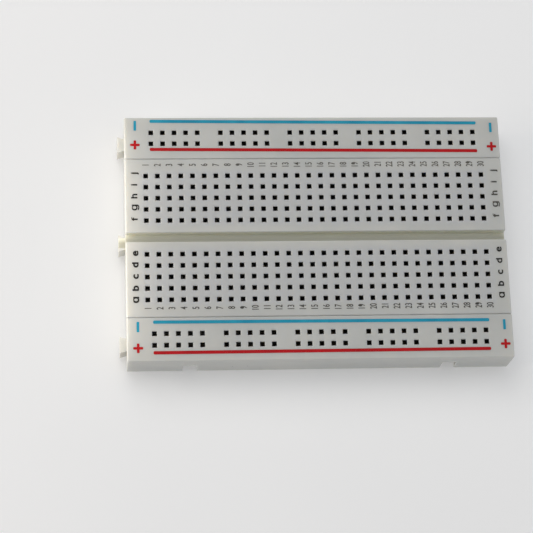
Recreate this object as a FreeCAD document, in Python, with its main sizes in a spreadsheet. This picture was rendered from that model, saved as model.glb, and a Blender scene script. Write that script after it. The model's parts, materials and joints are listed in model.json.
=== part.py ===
import FreeCAD, Part

# Half-size solderless breadboard: a terminal strip between two bus strips, in millimetres.
#
# Frame: the origin is the centre of the underside (the face that lies on the bench), +X runs from
# column 1 to column 30, +Y from row a to row j, and +Z out of the wire holes.
#
# Each strip is a moulded housing, open underneath. Sprung metal clips are pushed up into its cells,
# a foam pad closes the underside, and a paper liner covers the pad's adhesive. Dovetail tabs on the
# -X and +Y sides hook into slots in the neighbouring strip, so strips part by lifting one off.

import os

import Sketcher
from FreeCAD import Placement, Rotation, Vector

# Driving dimensions: alias, value, what it is.
DIMENSIONS = (
    ("pitch", 2.54, "tenth-of-an-inch grid of the wire holes"),
    ("columns", 30, "numbered columns of the terminal strip"),
    ("bank_rows", 5, "wire holes joined by one terminal clip"),
    ("bank_centre", 8.89, "middle row of a bank, from the centre line: 3.5 pitches"),
    ("bus_groups", 5, "groups of wire holes along a bus row"),
    ("group_pitches", 6, "pitches from one bus group to the next"),
    ("board_length", 82.8, "along X, without the tabs"),
    ("terminal_width", 35.7, "terminal strip along Y"),
    ("bus_width", 9.6, "bus strip along Y"),
    ("strip_gap", 0.05, "between neighbouring strips"),
    ("housing_height", 8.5, "moulded housing along Z"),
    ("edge_round", 0.25, "radius on the housing's outer edges"),
    ("channel_width", 2.06, "centre channel that straddling chips sit over"),
    ("channel_depth", 1.9, "centre channel"),
    ("channel_round", 0.25, "radius on the channel's upper edges"),
    ("wire_hole", 1.0, "square hole for a wire"),
    ("lead_in_mouth", 1.2, "square mouth of the hole's funnel"),
    ("lead_in_depth", 0.15, "funnel"),
    ("plate", 1.4, "top plate that the wire holes go through"),
    ("cell_width", 1.9, "cell across a clip"),
    ("cell_slack", 0.4, "cell longer than its clip"),
    ("groove_depth", 1.0, "groove that a bus clip's spine lies in"),
    ("sheet", 0.2, "spring metal of the clips"),
    ("clip_width", 1.7, "clip across its legs"),
    ("leaf_length", 1.9, "one contact leaf along the clip"),
    ("shoulder_level", 2.2, "where a leg starts to lean in"),
    ("pinch_level", 5.2, "where the two leaves nearly touch"),
    ("clip_height", 6.6, "tip of the leaves"),
    ("pinch_gap", 0.12, "between the leaves with no wire in"),
    ("mouth_gap", 0.9, "between the leaves' flared tips"),
    ("bend", 0.2, "inside radius of a bend"),
    ("tab_neck", 2.8, "dovetail at the housing's wall"),
    ("tab_head", 3.6, "dovetail at its outer end"),
    ("tab_reach", 1.5, "dovetail out from the wall"),
    ("tab_height", 4.4, "dovetail up from the housing's underside"),
    ("tab_spacing", 27.94, "long-side tabs, each way from the middle: 11 pitches"),
    ("slot_clearance", 0.1, "slot bigger than the tab all round"),
    ("foam_thickness", 0.8, "adhesive foam pad"),
    ("foam_inset", 1.8, "pad's edge in from the housing's, clear of the slots"),
    ("liner_thickness", 0.12, "paper release liner"),
    ("liner_inset", 1.6, "liner's edge in from the housing's, clear of the slots"),
)

# Places and sizes that follow from the driving dimensions.
HOUSING_BASE = "(Size.liner_thickness + Size.foam_thickness)"
STRIP_STEP = "(Size.terminal_width / 2 + Size.strip_gap + Size.bus_width / 2)"
FIRST_COLUMN = "(-(Size.columns - 1) / 2 * Size.pitch)"
FIRST_ROW = "(-(Size.bank_rows - 1) / 2 * Size.pitch)"
BANK_LENGTH = "((Size.bank_rows - 1) * Size.pitch + Size.leaf_length)"
GROUP_STEP = "(Size.group_pitches * Size.pitch)"
BUS_SPAN = "((Size.bus_groups - 1) * Size.group_pitches * Size.pitch)"
CELL_DEPTH = "(Size.housing_height - Size.plate)"

# Two places closer than this are the same place.
SAME = 1e-6

doc = FreeCAD.newDocument("Breadboard")
size = doc.addObject("Spreadsheet::Sheet", "Size")
for number, (alias, value, meaning) in enumerate(DIMENSIONS, start=1):
    size.set(f"A{number}", alias)
    size.set(f"B{number}", str(value))
    size.set(f"C{number}", meaning)
    size.setAlias(f"B{number}", alias)
doc.recompute()


def value_of(expression):
    """The number that an expression over the sheet comes to now."""
    return float(size.evalExpression(expression))


def bind(item, **expressions):
    """Binds properties to expressions; two underscores stand for the dot in a property's path."""
    for path, expression in expressions.items():
        item.setExpression(path.replace("__", "."), expression)


def place(item, x="0", y="0", z="0"):
    """Binds where an object stands."""
    bind(item, Placement__Base__x=x, Placement__Base__y=y, Placement__Base__z=z)


def origin_part(body, role):
    """One of a body's own origin planes or axes."""
    return next(part for part in body.Origin.OriginFeatures if part.Role == role)


def new_sketch(body, name, role="XY_Plane", x="0", y="0", z="0"):
    """A sketch on one of the body's origin planes, moved by x, y and z in that plane's own axes."""
    sketch = body.newObject("Sketcher::SketchObject", name)
    sketch.AttachmentSupport = [(origin_part(body, role), "")]
    sketch.MapMode = "FlatFace"
    bind(
        sketch,
        AttachmentOffset__Base__x=x,
        AttachmentOffset__Base__y=y,
        AttachmentOffset__Base__z=z,
    )
    return sketch


def outline(sketch, corners):
    """Draws a closed outline; each corner is a pair of expressions that stay bound to it."""
    points = [Vector(value_of(x), value_of(y), 0) for x, y in corners]
    count = len(points)
    lines = [Part.LineSegment(points[index], points[(index + 1) % count]) for index in range(count)]
    first = sketch.addGeometry(lines, False)[0]
    for index, (x, y) in enumerate(corners):
        line = first + index
        after = first + (index + 1) % count
        sketch.addConstraint(Sketcher.Constraint("Coincident", line, 2, after, 1))
        for axis, distance in (("X", x), ("Y", y)):
            number = sketch.addConstraint(
                Sketcher.Constraint(f"Distance{axis}", -1, 1, line, 1, value_of(distance))
            )
            sketch.setExpression(f"Constraints[{number}]", distance)
    return sketch


def rectangle(sketch, along_x, along_y):
    """Draws a rectangle centred on the sketch's origin."""
    right = f"{along_x} / 2"
    top = f"{along_y} / 2"
    left = f"-{right}"
    bottom = f"-{top}"
    return outline(sketch, [(left, bottom), (right, bottom), (right, top), (left, top)])


def pad(body, name, sketch, length, both_ways=False):
    """Adds the sketch's outline, grown along its normal."""
    feature = body.newObject("PartDesign::Pad", name)
    feature.Profile = sketch
    feature.Midplane = both_ways
    bind(feature, Length=length)
    doc.recompute()
    return feature


def pocket(body, name, sketch, depth, upward=False):
    """Cuts the sketch's outline out, downward unless upward is set, and checks that it bit."""
    before = body.Shape.Volume
    feature = body.newObject("PartDesign::Pocket", name)
    feature.Profile = sketch
    feature.Reversed = upward
    bind(feature, Length=depth)
    doc.recompute()
    if feature.Shape.Volume >= before:
        raise RuntimeError(f"{name} cuts nothing")
    return feature


def fillet(body, name, base, chosen, radius):
    """Rounds the edges of the base feature that the chosen function picks."""
    edges = [f"Edge{number}" for number, edge in enumerate(base.Shape.Edges, start=1) if chosen(edge)]
    feature = body.newObject("PartDesign::Fillet", name)
    feature.Base = (base, edges)
    bind(feature, Radius=radius)
    doc.recompute()
    return feature


def pattern(body, name, features, axis, count, step, second_axis=None, second_count="1", second_step="0"):
    """Repeats features, or with none the whole body, along one of its axes or over a grid of two."""
    feature = body.newObject("PartDesign::LinearPattern", name)
    feature.Originals = features
    feature.TransformMode = "Features" if features else "Whole shape"
    feature.Refine = False
    feature.Direction = (origin_part(body, axis), [""])
    bind(feature, Occurrences=count, Length=f"({count} - 1) * {step}")
    if second_axis:
        feature.Direction2 = (origin_part(body, second_axis), [""])
        bind(feature, Occurrences2=second_count, Length2=f"({second_count} - 1) * {second_step}")
    body.Tip = feature
    doc.recompute()
    return feature


def dovetail(sketch, direction, spare="0"):
    """Draws a dovetail from the sketch's origin, widening towards -X or +Y, spare bigger each side."""
    neck = f"(Size.tab_neck / 2 + {spare})"
    head = f"(Size.tab_head / 2 + {spare})"
    corners = [("0", f"-{neck}"), ("Size.tab_reach", f"-{head}"), ("Size.tab_reach", head), ("0", neck)]
    if direction == "-X":
        return outline(sketch, [(f"-{reach}", across) for reach, across in corners])
    return outline(sketch, [(across, reach) for reach, across in corners])


def strip_blank(name, width):
    """A strip's outer block, tabs on its -X and +Y sides and slots on the other two.

    Its origin is the middle of its underside.
    """
    body = doc.addObject("PartDesign::Body", name)
    block = pad(
        body,
        "Block",
        rectangle(new_sketch(body, "BlockOutline"), "Size.board_length", width),
        "Size.housing_height",
    )
    fillet(body, "OuterEdges", block, lambda edge: edge.BoundBox.ZMax > SAME, "Size.edge_round")

    tab_places = (
        ("End", "-X", "-Size.board_length / 2", "0"),
        ("Left", "+Y", "-Size.tab_spacing", f"{width} / 2"),
        ("Right", "+Y", "Size.tab_spacing", f"{width} / 2"),
    )
    for side, direction, x, y in tab_places:
        sketch = dovetail(new_sketch(body, f"{side}TabOutline", x=x, y=y), direction)
        pad(body, f"{side}Tab", sketch, "Size.tab_height")

    slot_places = (
        ("End", "-X", "Size.board_length / 2", "0"),
        ("Left", "+Y", "-Size.tab_spacing", f"-{width} / 2"),
        ("Right", "+Y", "Size.tab_spacing", f"-{width} / 2"),
    )
    for side, direction, x, y in slot_places:
        sketch = new_sketch(body, f"{side}SlotOutline", x=x, y=y)
        dovetail(sketch, direction, spare="Size.slot_clearance")
        pocket(body, f"{side}Slot", sketch, "Size.tab_height + Size.slot_clearance", upward=True)
    return body


def terminal_blank():
    """The terminal strip with its channel and clip cells, before the wire holes are cut."""
    body = strip_blank("TerminalBlank", "Size.terminal_width")
    channel_outline = rectangle(
        new_sketch(body, "ChannelOutline", z="Size.housing_height"),
        "(Size.board_length + Size.pitch)",
        "Size.channel_width",
    )
    channel = pocket(body, "Channel", channel_outline, "Size.channel_depth")

    half_width = value_of("Size.channel_width / 2")
    top = value_of("Size.housing_height")

    def is_channel_lip(edge):
        box = edge.BoundBox
        beside_channel = abs(abs(box.Center.y) - half_width) < SAME and box.YLength < SAME
        return beside_channel and abs(box.ZMin - top) < SAME

    fillet(body, "ChannelLips", channel, is_channel_lip, "Size.channel_round")

    cell_outline = rectangle(
        new_sketch(body, "CellOutline", x=FIRST_COLUMN, y="-Size.bank_centre"),
        "Size.cell_width",
        f"({BANK_LENGTH} + Size.cell_slack)",
    )
    cell = pocket(body, "Cell", cell_outline, CELL_DEPTH, upward=True)
    pattern(
        body,
        "Cells",
        [cell],
        "X_Axis",
        "Size.columns",
        "Size.pitch",
        "Y_Axis",
        "2",
        "2 * Size.bank_centre",
    )
    return body


def bus_blank():
    """A bus strip with two rows of cells and the grooves that join them, before the wire holes."""
    body = strip_blank("BusBlank", "Size.bus_width")
    groove_outline = rectangle(
        new_sketch(body, "GrooveOutline", y="-Size.pitch / 2"),
        f"({BUS_SPAN} + {BANK_LENGTH} + Size.cell_slack)",
        "Size.cell_width",
    )
    groove = pocket(body, "Groove", groove_outline, "Size.groove_depth", upward=True)
    pattern(body, "Grooves", [groove], "Y_Axis", "2", "Size.pitch")

    cell_outline = rectangle(
        new_sketch(body, "CellOutline", x=f"-{BUS_SPAN} / 2", y="-Size.pitch / 2"),
        f"({BANK_LENGTH} + Size.cell_slack)",
        "Size.cell_width",
    )
    cell = pocket(body, "Cell", cell_outline, CELL_DEPTH, upward=True)
    pattern(body, "Cells", [cell], "X_Axis", "Size.bus_groups", GROUP_STEP, "Y_Axis", "2", "Size.pitch")
    return body


def wire_hole_cutter(name, x, y, *grid):
    """Square shafts with funnel mouths, repeated over a grid from the first hole at x, y.

    The shafts start half a plate below the plate, so that they break through into the cells.
    """
    body = doc.addObject("PartDesign::Body", name)
    body.AllowCompound = True
    shaft_outline = rectangle(
        new_sketch(body, "ShaftOutline", x=x, y=y, z=f"{CELL_DEPTH} - Size.plate / 2"),
        "Size.wire_hole",
        "Size.wire_hole",
    )
    shaft = pad(body, "Shaft", shaft_outline, "Size.plate + Size.plate / 2")

    throat = new_sketch(body, "FunnelThroat", x=x, y=y, z="Size.housing_height - Size.lead_in_depth")
    mouth = new_sketch(body, "FunnelMouth", x=x, y=y, z="Size.housing_height")
    funnel = body.newObject("PartDesign::AdditiveLoft", "Funnel")
    funnel.Profile = rectangle(throat, "Size.wire_hole", "Size.wire_hole")
    funnel.Sections = [rectangle(mouth, "Size.lead_in_mouth", "Size.lead_in_mouth")]
    funnel.Ruled = True
    doc.recompute()
    pattern(body, "WireHoles", [shaft, funnel], *grid)
    return body


def drilled(name, blank, cutter):
    """The blank with the cutter's wire holes, and their mirror image across the centre line."""
    mirrored = doc.addObject("Part::Mirroring", f"{name}MirroredCutter")
    mirrored.Source = cutter
    mirrored.Normal = Vector(0, 1, 0)
    cutters = doc.addObject("Part::Compound", f"{name}Cutters")
    cutters.Links = [cutter, mirrored]
    housing = doc.addObject("Part::Cut", name)
    housing.Base = blank
    housing.Tool = cutters
    housing.Refine = False
    doc.recompute()
    return housing


def terminal_housing():
    cutter = wire_hole_cutter(
        "TerminalWireHoles",
        FIRST_COLUMN,
        f"-Size.bank_centre + {FIRST_ROW}",
        "X_Axis",
        "Size.columns",
        "Size.pitch",
        "Y_Axis",
        "Size.bank_rows",
        "Size.pitch",
    )
    return drilled("TerminalHousing", terminal_blank(), cutter)


def bus_housing():
    cutter = wire_hole_cutter(
        "BusWireHoles",
        f"-{BUS_SPAN} / 2 + {FIRST_ROW}",
        "-Size.pitch / 2",
        "X_Axis",
        "Size.bank_rows",
        "Size.pitch",
        "X_Axis",
        "Size.bus_groups",
        GROUP_STEP,
    )
    return drilled("BusHousing", bus_blank(), cutter)


def contact_clip(name, groups, group_step):
    """A sprung clip along Y: a flat spine with U-shaped contacts, whose legs lean in to a pinch.

    Its origin is the middle of the spine's underside.
    """
    outer_x = "Size.clip_width / 2"
    outer_side = [
        (outer_x, "0"),
        (outer_x, "Size.shoulder_level"),
        ("Size.pinch_gap / 2 + Size.sheet", "Size.pinch_level"),
        ("Size.mouth_gap / 2 + Size.sheet", "Size.clip_height"),
    ]
    inner_side = [
        ("Size.mouth_gap / 2", "Size.clip_height"),
        ("Size.pinch_gap / 2", "Size.pinch_level"),
        (f"{outer_x} - Size.sheet", "Size.shoulder_level"),
        (f"{outer_x} - Size.sheet", "Size.sheet"),
    ]
    right_half = outer_side + inner_side
    left_half = [(f"-({x})", z) for x, z in reversed(right_half)]
    first_contact = f"({FIRST_ROW} - ({groups} - 1) / 2 * {group_step})"

    body = doc.addObject("PartDesign::Body", name)
    body.AllowCompound = True
    section = outline(new_sketch(body, "Section", "XZ_Plane", z=f"-{first_contact}"), right_half + left_half)
    contact = pad(body, "Contact", section, "Size.leaf_length", both_ways=True)

    def bends_at(corners):
        """Picks the edges that run along the clip through these corners, on either leg."""
        points = [(value_of(x), value_of(z)) for x, z in corners]

        def is_bend(edge):
            box = edge.BoundBox
            runs_along_clip = box.XLength + box.ZLength < SAME
            at_corner = any(abs(abs(box.Center.x) - x) + abs(box.Center.z - z) < SAME for x, z in points)
            return runs_along_clip and at_corner

        return is_bend

    outsides = [outer_side[0], outer_side[1], inner_side[1]]
    insides = [outer_side[2], inner_side[2], inner_side[3]]
    rounded = fillet(body, "BendOutsides", contact, bends_at(outsides), "Size.bend + Size.sheet")
    fillet(body, "BendInsides", rounded, bends_at(insides), "Size.bend")

    pattern(body, "Contacts", [], "Y_Axis", "Size.bank_rows", "Size.pitch", "Y_Axis", groups, group_step)

    spine_outline = rectangle(
        new_sketch(body, "SpineOutline"),
        "(Size.clip_width - 2 * Size.sheet - 2 * Size.bend)",
        f"({BANK_LENGTH} + ({groups} - 1) * {group_step})",
    )
    pad(body, "Spine", spine_outline, "Size.sheet")
    return body


nodes = []


def node(label, masters, x="0", y="0", z="0"):
    """A finished sub-part: placed copies of one or more master shapes."""
    item = doc.addObject("Part::Compound", label)
    item.Label = label
    item.Links = masters
    place(item, x, y, z)
    nodes.append(item)


def flat_sheet(label, width, inset, thickness, y, z):
    """A finished sub-part cut from flat sheet, inset from its strip's edges and centred at y."""
    item = doc.addObject("Part::Box", label)
    item.Label = label
    bind(
        item,
        Length=f"Size.board_length - 2 * {inset}",
        Width=f"{width} - 2 * {inset}",
        Height=thickness,
    )
    place(item, f"-Size.board_length / 2 + {inset}", f"{y} - {width} / 2 + {inset}", z)
    nodes.append(item)


def add_housings():
    node("terminal_strip_housing", [terminal_housing()], z=HOUSING_BASE)
    bus = bus_housing()
    node("upper_bus_strip_housing", [bus], y=STRIP_STEP, z=HOUSING_BASE)
    node("lower_bus_strip_housing", [bus], y=f"-{STRIP_STEP}", z=HOUSING_BASE)


def add_terminal_clips():
    """Each column holds two clips: one under rows a to e, one under rows f to j."""
    banks = []
    for name, y in (("ClipUnderRowsAToE", "-Size.bank_centre"), ("ClipUnderRowsFToJ", "Size.bank_centre")):
        clip = contact_clip(name, "1", "0")
        place(clip, y=y)
        banks.append(clip)
    for column in range(int(value_of("Size.columns"))):
        x = f"{FIRST_COLUMN} + {column} * Size.pitch"
        node(f"column_{column + 1:02d}_clips", banks, x=x, z=HOUSING_BASE)


def add_bus_clips():
    """Each bus strip holds two long clips, the negative row on its +Y side."""
    clip = contact_clip("BusClip", "Size.bus_groups", GROUP_STEP)
    clip.Placement = Placement(Vector(), Rotation(Vector(0, 0, 1), 90))
    for strip, side in (("upper", ""), ("lower", "-")):
        for polarity, row in (("negative", "+"), ("positive", "-")):
            y = f"{side}{STRIP_STEP} {row} Size.pitch / 2"
            node(f"{strip}_{polarity}_bus_clip", [clip], y=y, z=HOUSING_BASE)


def add_backing():
    """Each strip's foam pad, and the paper liner under it."""
    strips = (
        ("terminal_strip", "Size.terminal_width", "0"),
        ("upper_bus_strip", "Size.bus_width", STRIP_STEP),
        ("lower_bus_strip", "Size.bus_width", f"-{STRIP_STEP}"),
    )
    layers = (
        ("foam_pad", "Size.foam_inset", "Size.foam_thickness", "Size.liner_thickness"),
        ("release_liner", "Size.liner_inset", "Size.liner_thickness", "0"),
    )
    for strip, width, y in strips:
        for layer, inset, thickness, level in layers:
            flat_sheet(f"{strip}_{layer}", width, inset, thickness, y, level)


def check_and_write():
    """Stops on any failed feature or bad shape, then writes one STEP file for each sub-part."""
    doc.recompute()
    for item in doc.Objects:
        if {"Invalid", "Error"} & set(item.State):
            raise RuntimeError(f"{item.Name} failed: {item.State}")
    for item in nodes:
        if item.Shape.isNull() or not item.Shape.isValid():
            raise RuntimeError(f"{item.Label} has a bad shape")
    os.makedirs("parts", exist_ok=True)
    for item in nodes:
        item.Shape.exportStep(f"parts/{item.Label}.step")


add_housings()
add_terminal_clips()
add_bus_clips()
add_backing()
check_and_write()
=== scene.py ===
"""Half-size solderless breadboard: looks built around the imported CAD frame, in metres."""

import json
import math

import bmesh
import bpy
from mathutils import Matrix, Vector, noise
from mathutils.geometry import delaunay_2d_cdt

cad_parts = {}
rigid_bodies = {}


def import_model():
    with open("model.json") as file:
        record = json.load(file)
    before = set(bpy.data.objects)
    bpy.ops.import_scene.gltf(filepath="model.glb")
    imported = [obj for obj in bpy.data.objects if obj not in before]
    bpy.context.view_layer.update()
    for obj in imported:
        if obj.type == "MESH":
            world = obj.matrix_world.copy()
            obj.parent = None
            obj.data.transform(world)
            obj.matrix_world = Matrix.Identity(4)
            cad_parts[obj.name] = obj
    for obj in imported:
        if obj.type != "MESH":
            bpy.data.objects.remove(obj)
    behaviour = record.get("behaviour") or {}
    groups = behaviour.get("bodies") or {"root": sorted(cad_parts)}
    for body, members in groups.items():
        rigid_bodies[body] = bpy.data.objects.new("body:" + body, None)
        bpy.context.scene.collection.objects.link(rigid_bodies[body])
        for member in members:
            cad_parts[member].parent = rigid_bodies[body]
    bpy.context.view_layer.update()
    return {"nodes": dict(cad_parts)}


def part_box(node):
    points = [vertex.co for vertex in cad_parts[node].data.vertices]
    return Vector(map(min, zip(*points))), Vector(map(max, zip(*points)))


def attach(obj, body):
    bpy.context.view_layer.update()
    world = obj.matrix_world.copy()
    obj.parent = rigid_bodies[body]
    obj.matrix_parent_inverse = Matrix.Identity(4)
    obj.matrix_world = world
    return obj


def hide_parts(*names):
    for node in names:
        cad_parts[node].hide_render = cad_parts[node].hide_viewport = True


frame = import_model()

MM = 0.001

STRIPS = ("terminal_strip", "upper_bus_strip", "lower_bus_strip")
BUS_STRIPS = ("upper_bus_strip", "lower_bus_strip")
LINER_BODY = {
    "terminal_strip": "terminal_liner",
    "upper_bus_strip": "upper_liner",
    "lower_bus_strip": "lower_liner",
}
ROW_LETTERS = "abcdefghij"
COLUMNS = 30
BANK_ROWS = 5


# ---------------------------------------------------------------- places read from the frame

def middle(node, axis):
    """The middle of a CAD node along one axis."""
    low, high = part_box(node)
    return (low[axis] + high[axis]) / 2


def column_x(number):
    """The place of a numbered column along X."""
    return middle(f"column_{number:02d}_clips", 0)


PITCH = (column_x(COLUMNS) - column_x(1)) / (COLUMNS - 1)
BANK_MIDDLE = 3.5 * PITCH        # each bank's middle row, from the board's centre line
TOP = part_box("terminal_strip_housing")[1].z
BOARD_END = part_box("terminal_strip_housing")[1].x
FIRST_BUS_HOLE = column_x(1) + PITCH / 2
FUNNEL_DEPTH = 0.15 * MM
CHANNEL_HALF_WIDTH = 1.1 * MM


def row_y(letter):
    """The place of a lettered row along Y: a bank of five each side of the channel, a to j."""
    bank, row = divmod(ROW_LETTERS.index(letter), BANK_ROWS)
    bank_middle = BANK_MIDDLE if bank else -BANK_MIDDLE
    return bank_middle + (row - (BANK_ROWS - 1) / 2) * PITCH


def bus_middle(strip):
    """The middle of a bus strip along Y: halfway between its two clips."""
    side = strip.split("_")[0]
    return (middle(f"{side}_negative_bus_clip", 1) + middle(f"{side}_positive_bus_clip", 1)) / 2


# ---------------------------------------------------------------- shader building

def set_inputs(tree, node, inputs):
    """Links each input that is given as a socket, and sets any other."""
    for name, value in inputs.items():
        if isinstance(value, bpy.types.NodeSocket):
            tree.links.new(value, node.inputs[name])
        else:
            node.inputs[name].default_value = value


def add_node(tree, kind, inputs=None, **settings):
    """Adds a shader node with the given inputs and settings."""
    node = tree.nodes.new(kind)
    for name, value in settings.items():
        setattr(node, name, value)
    set_inputs(tree, node, inputs or {})
    return node


def new_material(name):
    """A node material, its shader, and object coordinates in metres."""
    material = bpy.data.materials.new(name)
    material.use_nodes = True
    tree = material.node_tree
    shader = tree.nodes["Principled BSDF"]
    where = add_node(tree, "ShaderNodeTexCoord").outputs["Object"]
    return material, tree, shader, where


def noise_of(tree, where, grain, detail=3.0, roughness=0.55):
    """Noise whose features are about grain metres across."""
    inputs = {"Vector": where, "Scale": 1 / grain, "Detail": detail, "Roughness": roughness}
    return add_node(tree, "ShaderNodeTexNoise", inputs).outputs["Fac"]


def clouds(tree, where, grain, detail=3.0):
    """Soft patches about grain metres across, from 0 to 1."""
    return remapped(tree, noise_of(tree, where, grain, detail), 0.35, 0.65, 0.0, 1.0)


def stretched(tree, where, x, y, z):
    """Coordinates scaled along each axis, for streaks."""
    mapping = add_node(tree, "ShaderNodeMapping", {"Vector": where, "Scale": (x, y, z)})
    return mapping.outputs["Vector"]


def remapped(tree, value, low, high, new_low, new_high):
    """A value moved from one range to another, and held inside it."""
    inputs = {"Value": value, "From Min": low, "From Max": high, "To Min": new_low, "To Max": new_high}
    return add_node(tree, "ShaderNodeMapRange", inputs).outputs["Result"]


def calculated(tree, operation, *values):
    """The result of a maths node."""
    return add_node(tree, "ShaderNodeMath", dict(enumerate(values)), operation=operation).outputs[0]


def product(tree, first, second):
    """Two masks multiplied."""
    return calculated(tree, "MULTIPLY", first, second)


def inside_band(tree, value, middle, half, soft):
    """1 where a value is within half of middle, fading to 0 over soft."""
    off = calculated(tree, "ABSOLUTE", calculated(tree, "SUBTRACT", value, middle))
    return remapped(tree, off, half + soft / 2, half - soft / 2, 0.0, 1.0)


def mixed(tree, factor, first, second):
    """Two colours mixed by a factor."""
    node = add_node(tree, "ShaderNodeMix", data_type="RGBA")
    sockets = [s for s in node.inputs if s.enabled]
    for socket, value in zip(sockets, (factor, first, second)):
        if isinstance(value, bpy.types.NodeSocket):
            tree.links.new(value, socket)
        else:
            socket.default_value = value
    return next(s for s in node.outputs if s.enabled)


def bumped(tree, height, depth, strength=1.0, under=None):
    """A bump normal whose full height is depth metres, over an earlier bump if one is given."""
    inputs = {"Height": height, "Distance": depth, "Strength": strength}
    if under is not None:
        inputs["Normal"] = under
    return add_node(tree, "ShaderNodeBump", inputs).outputs["Normal"]


def colour(red, green, blue):
    """A linear colour from sRGB values out of 255."""
    def linear(value):
        """One channel, by the sRGB curve."""
        share = value / 255
        return share / 12.92 if share <= 0.04045 else ((share + 0.055) / 1.055) ** 2.4
    return (linear(red), linear(green), linear(blue), 1.0)


# ---------------------------------------------------------------- materials

SHARP_FADE = 0.1 * MM
BANK_END_FADE = 1.5 * MM
BANK_SIDE_FADE = 1.2 * MM
CHANNEL_LIP = 0.4 * MM        # the channel's painted light starts this far down


def housing_regions(tree, where):
    """Masks for the terminal's banks, all wire holes, the channel, and painted shade towards the
    channel's front edge.
    """
    apart = add_node(tree, "ShaderNodeSeparateXYZ", {"Vector": where})
    x, y, level = (apart.outputs[axis] for axis in "XYZ")
    across = calculated(tree, "ABSOLUTE", y)
    along = inside_band(tree, x, 0.0, COLUMNS / 2 * PITCH, BANK_END_FADE)
    in_bank = inside_band(tree, across, BANK_MIDDLE, BANK_ROWS / 2 * PITCH, BANK_SIDE_FADE)
    in_bus = inside_band(tree, across, bus_middle("upper_bus_strip"), PITCH, SHARP_FADE)
    banks = product(tree, along, in_bank)
    over_clips = calculated(tree, "MAXIMUM", banks, product(tree, along, in_bus))
    # the wire holes' walls below their funnels are painted near-black: painted shade
    below_funnels = remapped(tree, level, TOP - 1.6 * FUNNEL_DEPTH, TOP - FUNNEL_DEPTH, 1.0, 0.0)
    holes = product(tree, over_clips, below_funnels)
    sunk = remapped(tree, level, TOP - CHANNEL_LIP, TOP - SHARP_FADE, 1.0, 0.0)
    channel = product(tree, sunk, inside_band(tree, across, 0.0, CHANNEL_HALF_WIDTH, SHARP_FADE))
    # painted shade over the channel's front half, fading out towards its back wall
    to_front = remapped(tree, y, 0.0, 0.9 * CHANNEL_HALF_WIDTH, 1.0, 0.0)
    return banks, holes, channel, product(tree, channel, to_front)


def specks(tree, where):
    """A mask of tiny dark specks, one in a few of the cells of a coarse random pattern."""
    away_from_centre = (0.31, 0.17, 0.05)
    shifted = add_node(tree, "ShaderNodeMapping", {"Vector": where, "Location": away_from_centre})
    cells = add_node(
        tree,
        "ShaderNodeTexVoronoi",
        {"Vector": shifted.outputs["Vector"], "Scale": 1 / (3.2 * MM), "Randomness": 1.0},
    )
    speck = remapped(tree, cells.outputs["Distance"], 0.035, 0.05, 1.0, 0.0)
    any_cell = add_node(tree, "ShaderNodeSeparateColor", {"Color": cells.outputs["Color"]}).outputs["Red"]
    few_cells = remapped(tree, any_cell, 0.96, 0.97, 0.0, 0.7)
    return product(tree, speck, few_cells)


def rubbed_edges(tree):
    """A mask of the edges, where a rounded normal turns away from the flat one, for a painted highlight.
    """
    rounded = add_node(tree, "ShaderNodeBevel", {"Radius": 0.25 * MM}, samples=4).outputs["Normal"]
    flat = add_node(tree, "ShaderNodeNewGeometry").outputs["Normal"]
    facing = add_node(tree, "ShaderNodeVectorMath", {0: rounded, 1: flat}, operation="DOT_PRODUCT")
    return remapped(tree, facing.outputs["Value"], 0.99, 0.82, 0.0, 0.35)


def moulded_plastic():
    """Off-white ABS: slow tone changes, painted shade over the cells, a channel painted lighter with
    painted shade towards its front, near-black painted shade down the wire holes, specks, painted edge
    highlights.
    """
    material, tree, shader, where = new_material("off_white_abs")
    banks, holes, channel, painted_channel_shade = housing_regions(tree, where)
    base = mixed(tree, clouds(tree, where, 12 * MM), colour(213, 213, 208), colour(205, 206, 202))
    # painted shade: the banks are a little darker and cooler over the cells
    base = mixed(tree, banks, base, colour(205, 206, 205))
    # painted light: the channel is lighter and warmer, for light soaking through the thin plastic
    base = mixed(tree, channel, base, colour(232, 232, 217))
    # painted shade towards the channel's front
    base = mixed(tree, painted_channel_shade, base, colour(184, 184, 171))
    base = mixed(tree, specks(tree, where), base, colour(70, 64, 58))
    # painted shade: the wire holes' walls below their funnels are near-black
    base = mixed(tree, holes, base, colour(14, 13, 12))
    # painted highlight along the edges
    base = mixed(tree, rubbed_edges(tree), base, colour(250, 248, 240))

    grain = noise_of(tree, where, 0.16 * MM, detail=2.0)
    sink = noise_of(tree, where, 9 * MM, detail=1.0)
    normal = bumped(tree, sink, 0.05 * MM, strength=0.6)
    normal = bumped(tree, grain, 0.012 * MM, strength=0.5, under=normal)

    surface = {
        "Base Color": base,
        "Roughness": remapped(tree, grain, 0.3, 0.7, 0.4, 0.54),
        "Normal": normal,
        "Subsurface Weight": 0.6,
        "Subsurface Radius": (1.0, 0.9, 0.75),
        "Subsurface Scale": 2.2 * MM,
        "IOR": 1.5,
    }
    set_inputs(tree, shader, surface)
    return material


def printed_ink(name, main, shade, coverage):
    """Screen-printed ink: uneven density, pinholes that let the plastic through, a faint sheen."""
    material, tree, shader, where = new_material(name)
    base = mixed(tree, clouds(tree, where, 5 * MM), main, shade)
    pinholes = noise_of(tree, where, 0.22 * MM, detail=2.0)
    worn = remapped(tree, pinholes, 0.3, 0.62, 1 - coverage, 0.0)
    base = mixed(tree, worn, base, colour(196, 194, 186))
    film = noise_of(tree, where, 0.1 * MM, detail=1.0)
    surface = {
        "Base Color": base,
        "Roughness": remapped(tree, film, 0.3, 0.7, 0.45, 0.65),
        "Normal": bumped(tree, film, 0.006 * MM, strength=0.5),
        "Specular IOR Level": 0.2,
    }
    set_inputs(tree, shader, surface)
    return material


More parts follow.
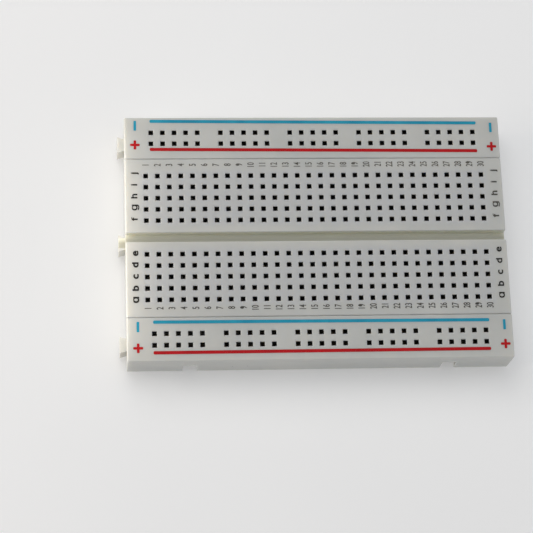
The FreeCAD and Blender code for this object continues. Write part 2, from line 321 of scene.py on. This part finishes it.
def nickel_plate():
    """Nickel-plated spring sheet: rolling streaks, slightly tarnished in patches."""
    material, tree, shader, where = new_material("nickel_plated_spring")
    patches = remapped(tree, noise_of(tree, where, 1.6 * MM), 0.4, 0.68, 0.0, 1.0)
    base = mixed(tree, patches, colour(205, 201, 192), colour(168, 152, 128))
    streaks = noise_of(tree, stretched(tree, where, 1.0, 12.0, 1.0), 0.6 * MM, detail=4.0)
    surface = {
        "Base Color": base,
        "Roughness": remapped(tree, streaks, 0.3, 0.7, 0.22, 0.44),
        "Normal": bumped(tree, streaks, 0.01 * MM, strength=0.4),
        "Metallic": 1.0,
        "Anisotropic": 0.4,
    }
    set_inputs(tree, shader, surface)
    return material


def closed_cell_foam():
    """White closed-cell foam: a skin of tiny bubbles, with painted shade in the pits of those that are
    cut open.
    """
    material, tree, shader, where = new_material("closed_cell_foam")
    cells = add_node(tree, "ShaderNodeTexVoronoi", {"Vector": where, "Scale": 1 / (0.22 * MM)})
    bubble = cells.outputs["Distance"]
    base = mixed(tree, clouds(tree, where, 4 * MM), colour(236, 234, 226), colour(222, 218, 206))
    # painted shade in the bubbles' pits
    base = mixed(tree, remapped(tree, bubble, 0.0, 0.6, 0.45, 0.0), base, colour(176, 172, 160))
    surface = {
        "Base Color": base,
        "Roughness": 0.86,
        "Normal": bumped(tree, bubble, 0.05 * MM),
        "Subsurface Weight": 0.15,
        "Subsurface Scale": 0.5 * MM,
    }
    set_inputs(tree, shader, surface)
    return material


def waxed_paper():
    """Waxed kraft release paper: fibres one way, blotches of wax, a soft sheen."""
    material, tree, shader, where = new_material("waxed_release_paper")
    fibres = noise_of(tree, stretched(tree, where, 1.0, 7.0, 7.0), 0.9 * MM, detail=6.0, roughness=0.7)
    blotches = clouds(tree, where, 7 * MM, detail=4.0)
    fibre_tone = remapped(tree, fibres, 0.3, 0.7, 0.0, 1.0)
    base = mixed(tree, fibre_tone, colour(214, 190, 140), colour(196, 168, 118))
    base = mixed(tree, remapped(tree, blotches, 0.0, 1.0, 0.0, 0.3), base, colour(232, 214, 172))
    surface = {
        "Base Color": base,
        "Roughness": remapped(tree, blotches, 0.0, 1.0, 0.34, 0.52),
        "Normal": bumped(tree, fibres, 0.02 * MM, strength=0.5),
        "Coat Weight": 0.15,
        "Coat Roughness": 0.35,
    }
    set_inputs(tree, shader, surface)
    return material


def floor_paint():
    """The studio floor: matt and almost white."""
    material, tree, shader, where = new_material("studio_floor")
    cloud = remapped(tree, noise_of(tree, where, 0.2), 0.3, 0.7, 0.0, 1.0)
    base = mixed(tree, cloud, colour(240, 240, 240), colour(236, 236, 236))
    surface = {"Base Color": base, "Emission Color": base, "Emission Strength": 0.25, "Roughness": 0.9}
    set_inputs(tree, shader, surface)
    return material


# ---------------------------------------------------------------- mesh building

def finish_piece(bm, name, material, body):
    """Turns a bmesh into a piece of the object that rides on a body."""
    bmesh.ops.recalc_face_normals(bm, faces=bm.faces)
    mesh = bpy.data.meshes.new(name)
    bm.to_mesh(mesh)
    bm.free()
    mesh.materials.append(material)
    piece = bpy.data.objects.new(name, mesh)
    bpy.context.scene.collection.objects.link(piece)
    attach(piece, body)
    return piece


def rounded_rectangle(low_x, low_y, high_x, high_y, radius, corner_steps, side_step=None):
    """Points round a rectangle with round corners; side_step also divides the straight sides."""
    corners = (
        (high_x - radius, high_y - radius, 0.0),
        (low_x + radius, high_y - radius, 0.5),
        (low_x + radius, low_y + radius, 1.0),
        (high_x - radius, low_y + radius, 1.5),
    )
    points = []
    for x, y, start in corners:
        for step in range(corner_steps + 1):
            angle = math.pi * (start + 0.5 * step / corner_steps)
            points.append(Vector((x + radius * math.cos(angle), y + radius * math.sin(angle), 0)))
    if side_step is None:
        return points
    divided = []
    for start, end in zip(points, points[1:] + points[:1]):
        pieces = max(1, round((end - start).length / side_step))
        divided += [start.lerp(end, piece / pieces) for piece in range(pieces)]
    return divided


def add_loft(bm, rings):
    """Joins rings of points, bottom to top, into a closed solid."""
    layers = [[bm.verts.new(point) for point in ring] for ring in rings]
    for below, above in zip(layers, layers[1:]):
        for index in range(len(below)):
            after = (index + 1) % len(below)
            bm.faces.new((below[index], below[after], above[after], above[index]))
    bm.faces.new(list(reversed(layers[0])))
    bm.faces.new(layers[-1])


def add_slab(bm, points, bottom, top):
    """A flat closed solid from an outline."""
    add_loft(bm, [[Vector((p.x, p.y, level)) for p in points] for level in (bottom, top)])


# ---------------------------------------------------------------- print on the housings

INK_BOTTOM = TOP - 0.004 * MM
INK_TOP = TOP + 0.012 * MM
LINE_WIDTH = 0.72 * MM
LINE_CORNER = 0.25 * MM
SIGN_STROKE = 0.56 * MM
SIGN_CORNER = 0.12 * MM
BAR_CORNER_STEPS = 4
MINUS_LENGTH = 2.25 * MM
PLUS_LENGTH = 2.1 * MM
BLUE_LINE_FROM_MIDDLE = 3.65 * MM
RED_LINE_FROM_MIDDLE = -2.9 * MM
MINUS_FROM_MIDDLE = 2.6 * MM
PLUS_FROM_MIDDLE = -1.87 * MM
SIGN_PLACES = (-BOARD_END + 2.35 * MM, BOARD_END - 1.8 * MM)
LINE_LEFT = FIRST_BUS_HOLE - 0.27 * MM
LINE_RIGHT = -FIRST_BUS_HOLE + 0.8 * MM
BLUE_SKEW_DEGREES = {"upper_bus_strip": -0.44, "lower_bus_strip": -0.22}
RED_SKEW_DEGREES = {"upper_bus_strip": -0.44, "lower_bus_strip": 0.04}

PEN_STEPS = 4
NEARLY_STRAIGHT = math.radians(2)

# Lettering is shaped at size 1 before it is scaled, so these lengths are shares of that size.
CAPITAL_HEIGHT = 0.682
SMALL_LETTER_HEIGHT = 0.5
SAME_POINT = 1e-5
NUMBER_BOLDNESS = 0.011        # the radius of the pen that goes round each shape
LETTER_BOLDNESS = 0.024
LEFT_LOWER_BOLDNESS = 0.037

# Styles of lettering: a capital's height; the share of it that stands at the given place; the
# share of its usual width; and what is kept of the parts above a small letter and below the line.
NUMBER_STYLE = {"height": 1.4 * MM, "middle_share": 0.5, "width_share": 0.62, "rise": 1.0, "drop": 1.0}
LETTER_STYLE = {
    "height": 1.52 * MM,
    "middle_share": SMALL_LETTER_HEIGHT / 2 / CAPITAL_HEIGHT,
    "width_share": 1.12,
    "rise": 0.45,
    "drop": 0.75,
}
NUMBERS_FROM_ROW_J = 2.5 * MM
NUMBERS_FROM_ROW_A = -1.9 * MM
LETTER_SPREAD = 1.02        # the letters stand a little further apart than the rows
LEFT_LETTERS_X = -BOARD_END + 2.1 * MM
RIGHT_LETTERS_X = BOARD_END - 1.82 * MM
RIGHT_LETTERS_RAISED = 0.3 * MM
PLAIN_SHAPES = {"a": "\u0251", "g": "\u0261"}        # the one-storey a and g


def add_bar(bm, x, y, length_x, length_y, corner):
    """A printed bar with its middle at x, y and round corners."""
    outline = rounded_rectangle(
        x - length_x / 2,
        y - length_y / 2,
        x + length_x / 2,
        y + length_y / 2,
        corner,
        BAR_CORNER_STEPS,
    )
    add_slab(bm, outline, INK_BOTTOM, INK_TOP)


def skew_print(bm, strip, degrees):
    """Turns a strip's print about its middle: each ink's screen was laid on a little askew."""
    turn = Matrix.Rotation(math.radians(degrees), 3, "Z")
    bmesh.ops.rotate(bm, verts=bm.verts, cent=(0, bus_middle(strip), 0), matrix=turn)


def add_line(bm, y):
    """A bus strip's printed line, as long as its row of wire holes."""
    add_bar(bm, (LINE_LEFT + LINE_RIGHT) / 2, y, LINE_RIGHT - LINE_LEFT, LINE_WIDTH, LINE_CORNER)


def print_negative(strip, ink):
    """A bus strip's blue line, with a minus sign beside each end."""
    y = bus_middle(strip)
    bm = bmesh.new()
    add_line(bm, y + BLUE_LINE_FROM_MIDDLE)
    for x in SIGN_PLACES:
        add_bar(bm, x, y + MINUS_FROM_MIDDLE, SIGN_STROKE, MINUS_LENGTH, SIGN_CORNER)
    skew_print(bm, strip, BLUE_SKEW_DEGREES[strip])
    finish_piece(bm, f"{strip}_negative_print", ink, strip)


def print_positive(strip, ink):
    """A bus strip's red line, with a plus sign beside each end."""
    y = bus_middle(strip)
    bm = bmesh.new()
    add_line(bm, y + RED_LINE_FROM_MIDDLE)
    for x in SIGN_PLACES:
        add_plus(bm, x, y + PLUS_FROM_MIDDLE)
    skew_print(bm, strip, RED_SKEW_DEGREES[strip])
    finish_piece(bm, f"{strip}_positive_print", ink, strip)


def add_plus(bm, x, y):
    """A plus sign as one outline, its arms' ends cut off at the corners."""
    arm = PLUS_LENGTH / 2
    half = SIGN_STROKE / 2
    cut = SIGN_CORNER
    quarter = (
        Vector((half - cut, arm, 0)),
        Vector((half, arm - cut, 0)),
        Vector((half, half, 0)),
        Vector((arm - cut, half, 0)),
        Vector((arm, half - cut, 0)),
    )
    outline = []
    for turn in range(4):
        spin = Matrix.Rotation(-turn * math.pi / 2, 3, "Z")
        outline += [spin @ point + Vector((x, y, 0)) for point in quarter]
    add_slab(bm, outline, INK_BOTTOM, INK_TOP)


def pen_stroke(start, end, radius):
    """Points round a straight stroke of a round pen."""
    heading = math.atan2(end.y - start.y, end.x - start.x)
    points = []
    for place, first_turn in ((end, -0.5), (start, 0.5)):
        for step in range(PEN_STEPS + 1):
            angle = heading + math.pi * (first_turn + step / PEN_STEPS)
            points.append(place + radius * Vector((math.cos(angle), math.sin(angle))))
    return points


def embolden(mesh, radius):
    """Goes round flat lettering with a round pen, and joins strokes and lettering into flat faces."""
    bm = bmesh.new()
    bm.from_mesh(mesh)
    corners = [vertex.co.xy for vertex in bm.verts]
    shapes = [[vertex.index for vertex in face.verts] for face in bm.faces]
    for edge in bm.edges:
        if edge.is_boundary:
            start, end = (vertex.co.xy for vertex in edge.verts)
            stroke = pen_stroke(start, end, radius)
            shapes.append(list(range(len(corners), len(corners) + len(stroke))))
            corners += stroke
    bm.clear()
    only_inside = 1
    joined = delaunay_2d_cdt(corners, [], shapes, only_inside, SAME_POINT)
    corners, _, triangles, _, _, shapes_under = joined
    points = [bm.verts.new((corner.x, corner.y, 0)) for corner in corners]
    for triangle, under in zip(triangles, shapes_under):
        if under:
            bm.faces.new([points[index] for index in triangle])
    bmesh.ops.delete(bm, geom=[point for point in bm.verts if not point.link_faces], context="VERTS")
    bmesh.ops.dissolve_limit(bm, angle_limit=NEARLY_STRAIGHT, verts=bm.verts, edges=bm.edges)
    bm.to_mesh(mesh)
    bm.free()


def add_text(bm, words, x, y, boldness, height, middle_share, width_share, rise, drop):
    """Lettering with its middle at x, y, turned a quarter turn so that it reads along +Y."""
    curve = bpy.data.curves.new("lettering", "FONT")
    curve.body = words
    curve.resolution_u = 4
    writer = bpy.data.objects.new("lettering", curve)
    bpy.context.scene.collection.objects.link(writer)
    bpy.context.view_layer.update()
    mesh = bpy.data.meshes.new_from_object(writer.evaluated_get(bpy.context.evaluated_depsgraph_get()))
    embolden(mesh, boldness)
    for vertex in mesh.vertices:
        if vertex.co.y > SMALL_LETTER_HEIGHT:
            vertex.co.y = SMALL_LETTER_HEIGHT + (vertex.co.y - SMALL_LETTER_HEIGHT) * rise
        elif vertex.co.y < 0:
            vertex.co.y *= drop
    low_x = min(v.co.x for v in mesh.vertices)
    high_x = max(v.co.x for v in mesh.vertices)
    scale = height / CAPITAL_HEIGHT
    shift = Matrix.Translation((-(low_x + high_x) / 2, -CAPITAL_HEIGHT * middle_share, 0))
    size = Matrix.Diagonal((scale * width_share, scale, 1, 1))
    turn = Matrix.Rotation(math.pi / 2, 4, "Z")
    mesh.transform(Matrix.Translation((x, y, INK_TOP)) @ turn @ size @ shift)
    bm.from_mesh(mesh)
    bpy.data.objects.remove(writer)
    bpy.data.curves.remove(curve)
    bpy.data.meshes.remove(mesh)


def thicken(bm):
    """Gives flat lettering the ink's thickness, downward."""
    faces = list(bm.faces)
    grown = bmesh.ops.extrude_face_region(bm, geom=faces)
    lowered = [item for item in grown["geom"] if isinstance(item, bmesh.types.BMVert)]
    bmesh.ops.translate(bm, verts=lowered, vec=(0, 0, INK_BOTTOM - INK_TOP))


def print_column_numbers(side, y, ink):
    """The numbers 1 to 30 in one line along X."""
    bm = bmesh.new()
    for number in range(1, COLUMNS + 1):
        add_text(bm, str(number), column_x(number), y, NUMBER_BOLDNESS, **NUMBER_STYLE)
    thicken(bm)
    finish_piece(bm, f"{side}_numbers_print", ink, "terminal_strip")


def print_row_letters(place, letters, x, raised, boldness, ink):
    """Letters beside their rows at one end, raised a little above them."""
    bm = bmesh.new()
    for letter in letters:
        shape = PLAIN_SHAPES.get(letter, letter)
        y = row_y("a") + (row_y(letter) - row_y("a")) * LETTER_SPREAD + raised
        add_text(bm, shape, x, y, boldness, **LETTER_STYLE)
    thicken(bm)
    finish_piece(bm, f"{place}_letters_print", ink, "terminal_strip")


def print_all_letters(dark_ink, worn_ink):
    """The letters a to j at both ends: boldest at the lower left, most worn at the upper right."""
    lower, upper = ROW_LETTERS[:BANK_ROWS], ROW_LETTERS[BANK_ROWS:]
    print_row_letters("lower_left", lower, LEFT_LETTERS_X, 0.0, LEFT_LOWER_BOLDNESS, dark_ink)
    print_row_letters("upper_left", upper, LEFT_LETTERS_X, 0.0, LETTER_BOLDNESS, dark_ink)
    right = (RIGHT_LETTERS_X, RIGHT_LETTERS_RAISED, LETTER_BOLDNESS)
    print_row_letters("lower_right", lower, *right, dark_ink)
    print_row_letters("upper_right", upper, *right, worn_ink)


# ---------------------------------------------------------------- soft backing

FOAM_CORNER = 0.8 * MM
FOAM_CORNER_STEPS = 5
FOAM_SIDE_STEP = 0.35 * MM
FOAM_LEVELS = 6
FOAM_WAIST = 0.09 * MM
FOAM_TEAR = 0.07 * MM
FOAM_TEAR_LENGTH = 0.5 * MM
LINER_CORNER = 1.2 * MM
LINER_CORNER_STEPS = 6
LINER_SLIT = 0.12 * MM
LINER_SLIT_SHARE = 0.38        # the slit's place along the liner


def foam_pad(strip, foam):
    """A die-cut pad: its sides are squeezed in at the waist and torn slightly rough by the die."""
    node = f"{strip}_foam_pad"
    low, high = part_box(node)
    outline = rounded_rectangle(
        low.x, low.y, high.x, high.y, FOAM_CORNER, FOAM_CORNER_STEPS, FOAM_SIDE_STEP
    )
    centre = (low + high) / 2
    half = (high - low) / 2
    rings = []
    for level in range(FOAM_LEVELS + 1):
        share = level / FOAM_LEVELS
        waist = FOAM_WAIST * math.sin(math.pi * share)
        z = low.z + (high.z - low.z) * share
        ring = []
        for point in outline:
            tear = FOAM_TEAR * abs(noise.noise(Vector((point.x, point.y, z)) / FOAM_TEAR_LENGTH))
            inset = waist + tear
            x = centre.x + (point.x - centre.x) * (1 - inset / half.x)
            y = centre.y + (point.y - centre.y) * (1 - inset / half.y)
            ring.append(Vector((x, y, z)))
        rings.append(ring)
    bm = bmesh.new()
    add_loft(bm, rings)
    piece = finish_piece(bm, f"{strip}_foam", foam, strip)
    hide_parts(node)


def release_liner(strip, paper):
    """A paper liner in two halves, parted by the slit that lets a thumbnail start the peel."""
    node = f"{strip}_release_liner"
    low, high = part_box(node)
    slit_x = low.x + (high.x - low.x) * LINER_SLIT_SHARE
    bm = bmesh.new()
    for start, end in ((low.x, slit_x - LINER_SLIT / 2), (slit_x + LINER_SLIT / 2, high.x)):
        outline = rounded_rectangle(start, low.y, end, high.y, LINER_CORNER, LINER_CORNER_STEPS)
        add_slab(bm, outline, low.z, high.z)
    piece = finish_piece(bm, f"{strip}_liner_paper", paper, LINER_BODY[strip])
    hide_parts(node)


# ---------------------------------------------------------------- assembly

def dress_cad_nodes(plastic, metal):
    """Gives the housings plastic and the other CAD nodes metal; pads and liners are replaced later."""
    for name, item in frame["nodes"].items():
        material = plastic if name.endswith("_housing") else metal
        item.data.materials.clear()
        item.data.materials.append(material)


def build_object():
    """Dresses the CAD nodes, prints on the housings, and puts the soft backing in place."""
    dress_cad_nodes(moulded_plastic(), nickel_plate())
    blue_ink = printed_ink("blue_ink", colour(42, 166, 196), colour(28, 149, 182), coverage=0.985)
    red_ink = printed_ink("red_ink", colour(200, 8, 22), colour(180, 6, 16), coverage=0.985)
    dark_ink = printed_ink("dark_ink", colour(40, 38, 35), colour(26, 25, 24), coverage=0.95)
    faint_ink = printed_ink("faint_ink", colour(92, 90, 84), colour(74, 72, 67), coverage=0.75)
    worn_ink = printed_ink("worn_ink", colour(72, 70, 65), colour(54, 52, 49), coverage=0.82)
    for strip in BUS_STRIPS:
        print_negative(strip, blue_ink)
        print_positive(strip, red_ink)
    print_column_numbers("upper", row_y("j") + NUMBERS_FROM_ROW_J, faint_ink)
    print_column_numbers("lower", row_y("a") + NUMBERS_FROM_ROW_A, worn_ink)
    print_all_letters(dark_ink, worn_ink)
    foam = closed_cell_foam()
    paper = waxed_paper()
    for strip in STRIPS:
        foam_pad(strip, foam)
        release_liner(strip, paper)


FLOOR_HALF_LENGTH = 3.0
FLOOR_LEVEL = -0.02 * MM        # just clear of the liners


def build_floor():
    """A large flat floor under the board, which is scenery and not a piece."""
    bm = bmesh.new()
    bmesh.ops.create_grid(bm, x_segments=1, y_segments=1, size=FLOOR_HALF_LENGTH)
    mesh = bpy.data.meshes.new("studio_floor")
    bm.to_mesh(mesh)
    bm.free()
    mesh.materials.append(floor_paint())
    floor = bpy.data.objects.new("studio_floor", mesh)
    floor.location.z = FLOOR_LEVEL
    bpy.context.scene.collection.objects.link(floor)


WARM_TINT = (1.0, 0.92, 0.82)
FAINTLY_WARM_TINT = (1.0, 0.985, 0.965)
COOL_TINT = (0.95, 0.97, 1.0)
SKY_TINT = (0.92, 0.95, 1.0, 1.0)
SKY_STRENGTH = 0.25


def add_area_light(name, place, size, watts, tint):
    """A square soft light aimed at the middle of the board."""
    light = bpy.data.lights.new(name, "AREA")
    light.size = size
    light.energy = watts
    light.color = tint
    item = bpy.data.objects.new(name, light)
    item.location = place
    item.rotation_euler = (Vector((0, 0, TOP)) - Vector(place)).to_track_quat("-Z", "Y").to_euler()
    bpy.context.scene.collection.objects.link(item)
    return item


def add_edge_glow():
    """A faint warm strip just off the board's left end, which brightens its margin.

    It lights only the housings and their print.
    """
    place = (-BOARD_END - 5 * MM, 0, TOP + 5 * MM)
    glow = add_area_light("edge_glow", place, size=0.052, watts=0.0017, tint=WARM_TINT)
    glow.data.shape = "RECTANGLE"
    glow.data.size_y = 3 * MM
    glow.rotation_euler = Vector((1, 0, -1)).to_track_quat("-Z", "Y").to_euler()
    lit = bpy.data.collections.new("lit_by_the_edge_glow")
    for item in bpy.context.scene.objects:
        if item.name.endswith(("_housing", "_print")):
            lit.objects.link(item)
    glow.light_linking.receiver_collection = lit


def build_lights():
    """A large soft light overhead, a warm one low on the left, and a weak cool fill on the right."""
    add_area_light("key_light", (-0.25, 0.42, 0.8), size=0.8, watts=3.05, tint=FAINTLY_WARM_TINT)
    add_area_light("side_light", (-0.5, 0.0, 0.12), size=0.3, watts=1.3, tint=WARM_TINT)
    add_area_light("fill_light", (0.5, 0.0, 0.7), size=0.8, watts=0.9, tint=COOL_TINT)
    add_edge_glow()


def build_sky():
    """A pale sky that lifts the shadows a little."""
    world = bpy.data.worlds.new("pale_sky")
    bpy.context.scene.world = world
    world.use_nodes = True
    background = world.node_tree.nodes["Background"]
    background.inputs["Color"].default_value = SKY_TINT
    background.inputs["Strength"].default_value = SKY_STRENGTH


# The camera stands above and a little in front of the board, left of its middle, held so that
# the board's long side lies almost level in the picture.
CAMERA_FROM_TOP_CENTRE = Vector((-0.04893, -0.13058, 0.40387))
LOOKING_ALONG = Vector((0.08878, 0.29188, -0.95233))
PICTURE_UP = Vector((0.00878, 0.95584, 0.29377))
LENS_MM = 133.4


def build_camera():
    """Places the camera from its place, its line of sight and its upward direction."""
    camera = bpy.data.cameras.new("camera")
    camera.lens = LENS_MM
    camera.clip_start = 0.01
    item = bpy.data.objects.new("camera", camera)
    right = LOOKING_ALONG.cross(PICTURE_UP).normalized()
    back = -LOOKING_ALONG.normalized()
    up = back.cross(right)
    turn = Matrix((right, up, back)).transposed().to_4x4()
    item.matrix_world = Matrix.Translation(Vector((0, 0, TOP)) + CAMERA_FROM_TOP_CENTRE) @ turn
    bpy.context.scene.collection.objects.link(item)
    bpy.context.scene.camera = item


build_object()
build_floor()
build_lights()
build_sky()
build_camera()
bpy.context.scene.view_settings.view_transform = "Standard"
